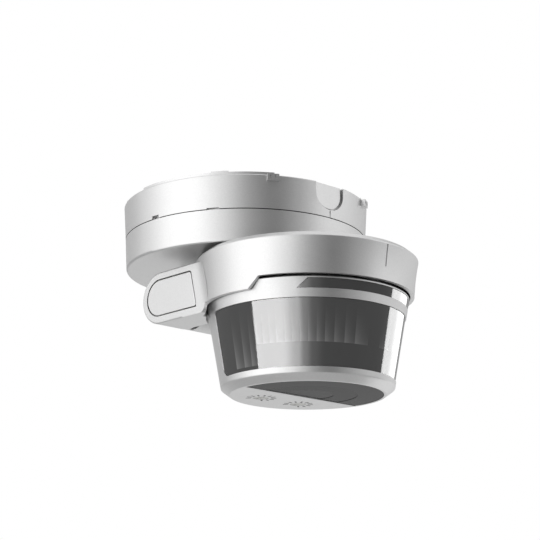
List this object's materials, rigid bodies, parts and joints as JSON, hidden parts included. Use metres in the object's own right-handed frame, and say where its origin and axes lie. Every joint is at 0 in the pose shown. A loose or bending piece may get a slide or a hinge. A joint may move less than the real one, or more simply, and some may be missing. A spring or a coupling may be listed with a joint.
{
  "type": "motion detector",
  "caption": "Motion detector for ceiling or wall: round swivelling base, hinged fork arm and ring, and a conical head with a dark faceted lens and a floor window.",
  "frame": {"origin": "centre of the base's back face, on the mounting surface", "axes": "+Z into the ceiling or wall the base is screwed to, -Y towards the head at rest, +X along the hinge axle"},
  "size_m": [0.0852, 0.1109, 0.0718],
  "materials": {
    "silver_shell": "satin silver paint",
    "dark_lens": "glossy moulded lens",
    "black_rubber": "matt",
    "spring_steel": "zinc plated",
    "brass": "nickel free",
    "terminal_grey": "moulded",
    "tray_black": "moulded",
    "board_green": "solder mask",
    "relay_blue": "moulded case",
    "capacitor_yellow": "moulded case",
    "capacitor_black": "sleeve",
    "copper": "enamelled wire",
    "clear_resin": "cast resin",
    "dial_white": "moulded"
  },
  "bodies": {
    "base": {"mounting_socket": "silver_shell", "cable_grommet": "black_rubber", "terminal_block": "terminal_grey", "terminal_clamps": "brass", "terminal_screws": "spring_steel", "block_screws": "spring_steel", "power_tray": "tray_black", "swivel_clip": "spring_steel", "swivel_seal": "black_rubber", "power_board": "board_green", "power_board_screws": "spring_steel", "plug_pins": "brass", "relay": "relay_blue", "suppression_capacitor": "capacitor_yellow", "smoothing_capacitor": "capacitor_black", "choke_coil": "copper"},
    "swivel": {"swivel_base": "silver_shell", "hinge_axle": "spring_steel", "friction_washers": "spring_steel", "hinge_washers": "spring_steel", "hinge_screws": "spring_steel"},
    "head": {"head_housing": "silver_shell", "side_cap_right": "silver_shell", "side_cap_left": "silver_shell", "lens_frame": "silver_shell", "detection_lens": "dark_lens", "strip_window": "dark_lens", "floor_lens": "dark_lens", "frame_seal": "black_rubber", "sensor_carrier": "tray_black", "heat_sensors": "spring_steel", "sensor_board": "board_green", "controller_chip": "capacitor_black", "status_led": "clear_resin", "light_sensor": "clear_resin", "control_board": "board_green", "adjuster_bodies": "tray_black"},
    "time_adjuster": {"time_dial": "dial_white"},
    "light_adjuster": {"light_dial": "dial_white"}
  },
  "joints": [
    {"name": "base_pan", "type": "hinge", "parent": "base", "child": "swivel", "pos_m": [0, 0, -0.0132], "axis": [0, 0, 1], "range_deg": [-90, 90]},
    {"name": "head_tilt", "type": "hinge", "parent": "swivel", "child": "head", "pos_m": [0, 0.0069, -0.0372], "axis": [1, 0, 0], "range_deg": [0, 90]},
    {"name": "time_set", "type": "hinge", "parent": "head", "child": "time_adjuster", "pos_m": [-0.0085, -0.0174, -0.0701], "axis": [0, 0, -1], "range_deg": [-135, 135]},
    {"name": "light_set", "type": "hinge", "parent": "head", "child": "light_adjuster", "pos_m": [0.0085, -0.0174, -0.0701], "axis": [0, 0, -1], "range_deg": [-135, 135]}
  ]
}
